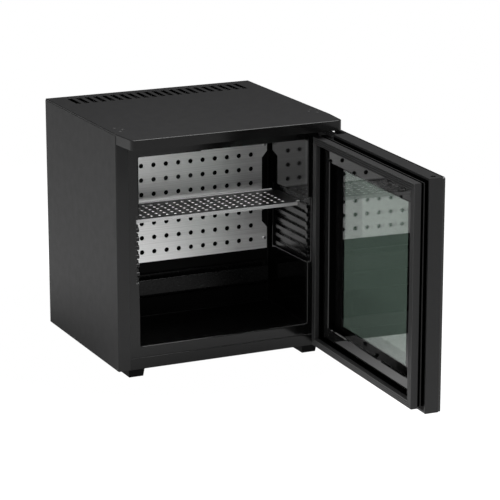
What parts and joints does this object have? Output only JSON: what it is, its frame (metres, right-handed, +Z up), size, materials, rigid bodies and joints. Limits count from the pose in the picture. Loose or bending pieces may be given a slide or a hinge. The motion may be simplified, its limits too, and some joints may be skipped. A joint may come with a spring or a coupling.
{
  "type": "minibar fridge",
  "caption": "Compact black minibar fridge with a hinged glass door standing open, a perforated sliding shelf, a brushed cooling plate and a slotted lid that overhangs the front.",
  "frame": {"origin": "on the floor, in the middle of the four feet under the cabinet, the door not counted", "axes": "+X to the right seen from the front, +Y to the rear, +Z up"},
  "size_m": [0.4025, 0.7541, 0.4295],
  "materials": {
    "black_steel": "satin black powder coat",
    "black_cover": "fine grained black",
    "gloss_liner": "glossy black",
    "gloss_trim": "glossy black",
    "door_plastic": "satin black",
    "seal_rubber": "soft black",
    "foot_rubber": "matt black",
    "tinted_glass": "dark tinted, polished",
    "bare_aluminium": "brushed",
    "shelf_steel": "silver-grey satin coat",
    "zinc_steel": "dull zinc",
    "pin_steel": "bright zinc",
    "unit_paint": "matt black",
    "jacket_steel": "grey sheet",
    "foam": "rigid foam",
    "lens": "milky",
    "clear_hose": "milky",
    "bush_plastic": "black nylon",
    "spacer_plastic": "white nylon"
  },
  "bodies": {
    "cabinet": {"absorber_coil": "unit_paint", "absorber_vessel": "unit_paint", "base_pan": "black_steel", "boiler_jacket": "jacket_steel", "boiler_riser": "unit_paint", "bottom_hinge_bracket": "black_steel", "bottom_hinge_pin": "pin_steel", "cold_block": "bare_aluminium", "condenser_fins": "unit_paint", "condenser_tube": "unit_paint", "control_box": "black_cover", "cooling_plate": "bare_aluminium", "cord_gland": "black_cover", "cover_plugs": "black_cover", "drain_hose": "clear_hose", "drip_cup": "black_cover", "drip_gutter": "black_cover", "evaporator_plug": "foam", "evaporator_tube": "unit_paint", "foam_back_sheet": "zinc_steel", "foot_front_left": "foot_rubber", "foot_front_right": "foot_rubber", "foot_rear_left": "foot_rubber", "foot_rear_right": "foot_rubber", "front_header": "black_steel", "hinge_screws": "pin_steel", "inner_liner": "gloss_liner", "insulation_foam": "foam", "lamp_housing": "black_cover", "lamp_lens": "lens", "left_shelf_rack": "gloss_liner", "left_side_panel": "black_steel", "liquid_pipe": "unit_paint", "plate_screws": "pin_steel", "plate_spacers": "spacer_plastic", "rear_rail": "black_steel", "right_shelf_rack": "gloss_liner", "right_side_panel": "black_steel", "top_cover": "black_cover", "top_hinge_bracket": "black_steel", "top_hinge_pin": "pin_steel", "unit_brackets": "zinc_steel"},
    "door": {"outer_glass": "tinted_glass", "inner_glass": "tinted_glass", "glass_spacer": "door_plastic", "door_frame": "door_plastic", "door_trim": "gloss_trim", "door_gasket": "seal_rubber", "gasket_magnet": "seal_rubber", "top_hinge_bush": "bush_plastic", "bottom_hinge_bush": "bush_plastic", "hinge_hole_plugs": "black_cover"},
    "shelf": {"shelf": "shelf_steel"}
  },
  "joints": [
    {"name": "door_hinge", "type": "hinge", "parent": "cabinet", "child": "door", "pos_m": [0.187, -0.2018, 0.2], "axis": [0, 0, 1], "range_deg": [-87.9, 17]},
    {"name": "shelf_slide", "type": "slide", "parent": "cabinet", "child": "shelf", "axis": [0, -1, 0], "range_m": [0, 0.04]}
  ]
}
